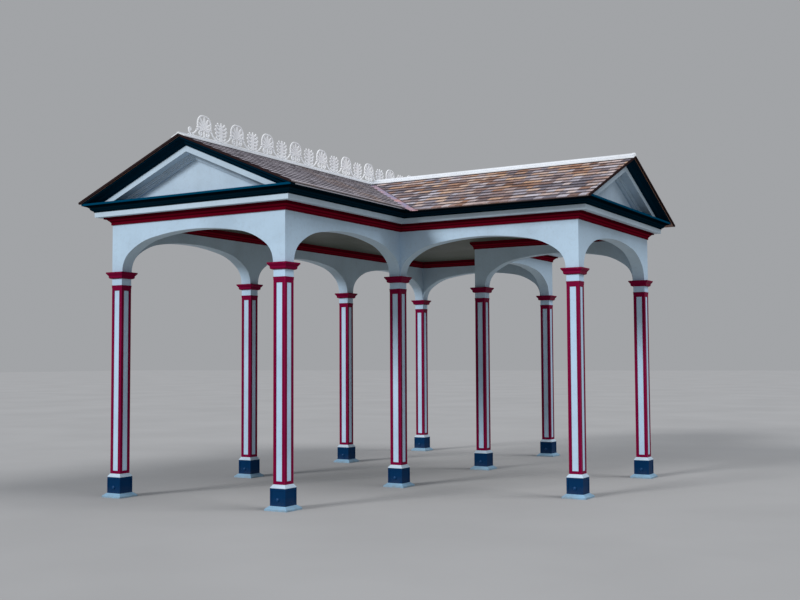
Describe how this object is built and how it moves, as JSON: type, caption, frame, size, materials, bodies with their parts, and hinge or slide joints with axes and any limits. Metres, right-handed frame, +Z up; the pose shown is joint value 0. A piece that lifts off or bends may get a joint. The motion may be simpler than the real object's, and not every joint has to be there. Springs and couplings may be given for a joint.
{
  "type": "park pavilion",
  "caption": "Open park pavilion on a T plan, square posts carrying arched wall panels, gabled shingle roof with two valleys and a cast ridge cresting.",
  "frame": {"origin": "middle of the plan's bounding box, on the ground", "axes": "+Z up; the main wing runs along Y with its front gable at -Y, the side wing runs along +X"},
  "size_m": [6.1, 8.9, 4.8964],
  "materials": {
    "wall_paint": "off-white house paint on boards",
    "crimson_paint": "deep red house paint",
    "navy_plinth_paint": "dark blue house paint",
    "navy_cornice_paint": "blue-black house paint",
    "white_trim_paint": "white house paint",
    "footing_paint": "pale blue-grey painted masonry",
    "ceiling_paint": "grey-green matt paint",
    "cedar_shingles": "weathered cedar",
    "ridge_metal": "white painted sheet metal",
    "valley_copper": "dull copper-coloured sheet",
    "cresting_paint": "white paint on cast iron"
  },
  "bodies": {
    "root": {"arch_front_gable": "wall_paint", "arch_left_front": "wall_paint", "arch_left_middle": "wall_paint", "arch_left_rear": "wall_paint", "arch_rear_gable": "wall_paint", "arch_right_front": "wall_paint", "arch_right_rear": "wall_paint", "arch_wing_front": "wall_paint", "arch_wing_gable": "wall_paint", "arch_wing_rear": "wall_paint", "bed_moulding": "crimson_paint", "capitals": "crimson_paint", "ceiling": "ceiling_paint", "ceiling_moulding": "crimson_paint", "eaves_cornice": "navy_cornice_paint", "fascia_board": "white_trim_paint", "footing_slabs": "footing_paint", "pediment_front": "white_trim_paint", "pediment_rear": "white_trim_paint", "pediment_wing": "white_trim_paint", "plinth_caps": "white_trim_paint", "plinths": "navy_plinth_paint", "post_front_left": "crimson_paint", "post_front_right": "crimson_paint", "post_mid_front_left": "crimson_paint", "post_mid_front_right": "crimson_paint", "post_mid_rear_left": "crimson_paint", "post_mid_rear_right": "crimson_paint", "post_necks": "white_trim_paint", "post_rear_left": "crimson_paint", "post_rear_right": "crimson_paint", "post_wing_front": "crimson_paint", "post_wing_rear": "crimson_paint", "raking_cornice_front": "navy_cornice_paint", "raking_cornice_rear": "navy_cornice_paint", "raking_cornice_wing": "navy_cornice_paint", "ridge_cap_main": "ridge_metal", "ridge_cap_wing": "ridge_metal", "ridge_cresting": "cresting_paint", "roof_left": "cedar_shingles", "roof_right": "cedar_shingles", "roof_wing_front": "cedar_shingles", "roof_wing_rear": "cedar_shingles", "upper_post_blocks": "wall_paint", "valley_flashings": "valley_copper"}
  },
  "joints": []
}
